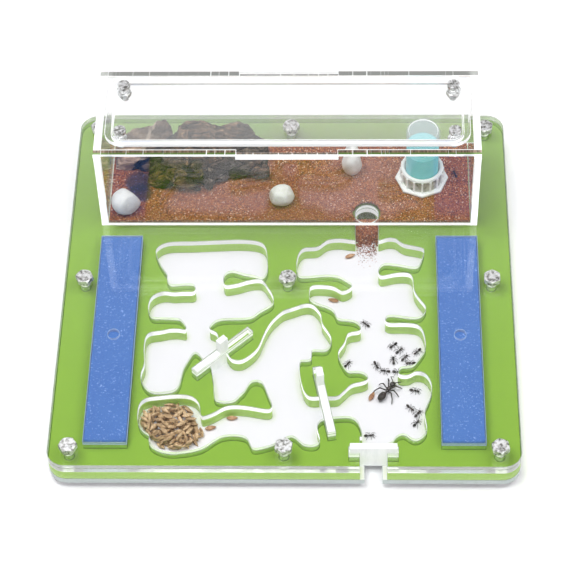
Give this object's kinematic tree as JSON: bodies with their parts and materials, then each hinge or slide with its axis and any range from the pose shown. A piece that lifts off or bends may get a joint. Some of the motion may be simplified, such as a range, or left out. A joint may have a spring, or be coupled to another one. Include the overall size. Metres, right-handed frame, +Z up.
{
  "type": "ant habitat",
  "caption": "Flat layered ant nest with galleries under a clear cover, sliding gates, damp sponges and a clear foraging box with a lift-off lid.",
  "frame": {"origin": "under the middle of the nest, on the surface its nuts stand on", "axes": "+X to the right, +Y from the entrance edge to the foraging box, +Z up"},
  "size_m": [0.2, 0.2, 0.0682],
  "materials": {
    "white_acrylic": "polished",
    "green_acrylic": "polished",
    "clear_acrylic": "polished",
    "gate_acrylic": "polished",
    "steel": "zinc plated",
    "sponge": "open-celled foam",
    "sand": "coarse grains",
    "driftwood": "weathered bark",
    "pebble": "water-worn white stone",
    "tray_plastic": "moulded",
    "reservoir_plastic": "moulded",
    "liquid": "liquid",
    "seed": "dry husk",
    "ant": "glossy shell"
  },
  "bodies": {
    "habitat": {"base_plate": "white_acrylic", "gallery_plate_green": "green_acrylic", "gallery_plate_clear": "clear_acrylic", "cover_plate": "clear_acrylic", "nest_bolts": "steel", "nest_nuts": "steel", "sponge_left": "sponge", "sponge_right": "sponge", "box_front_wall": "clear_acrylic", "box_back_wall": "clear_acrylic", "box_left_wall": "clear_acrylic", "box_right_wall": "clear_acrylic", "box_top_frame": "clear_acrylic", "sand_bed": "sand", "tunnel_sand": "sand", "driftwood_large": "driftwood", "driftwood_small": "driftwood", "pebble_left": "pebble", "pebble_centre": "pebble", "pebble_back": "pebble", "feeder_tray": "tray_plastic", "seed_heap": "seed", "loose_seeds": "seed", "queen_ant": "ant", "worker_ants": "ant"},
    "lid": {"lid_plate": "clear_acrylic", "lid_plug": "clear_acrylic", "lid_screws": "steel", "lid_nuts": "steel"},
    "left_gate": {"gate_left": "gate_acrylic"},
    "centre_gate": {"gate_centre": "gate_acrylic"},
    "entrance_gate": {"gate_entrance": "gate_acrylic"},
    "water_reservoir": {"feeder_reservoir": "reservoir_plastic", "feeder_liquid": "liquid"}
  },
  "joints": [
    {"name": "lid_lift", "type": "slide", "parent": "habitat", "child": "lid", "axis": [0, 0, 1], "range_m": [0, 0.04]},
    {"name": "left_gate_slide", "type": "slide", "parent": "habitat", "child": "left_gate", "axis": [0.7206, 0.6934, 0], "range_m": [0, 0.013]},
    {"name": "centre_gate_slide", "type": "slide", "parent": "habitat", "child": "centre_gate", "axis": [-0.1959, 0.9806, 0], "range_m": [0, 0.005]},
    {"name": "entrance_gate_lift", "type": "slide", "parent": "habitat", "child": "entrance_gate", "axis": [0, 0, 1], "range_m": [0, 0.01]},
    {"name": "reservoir_lift", "type": "slide", "parent": "habitat", "child": "water_reservoir", "axis": [0, 0, 1], "range_m": [0, 0.01]}
  ]
}
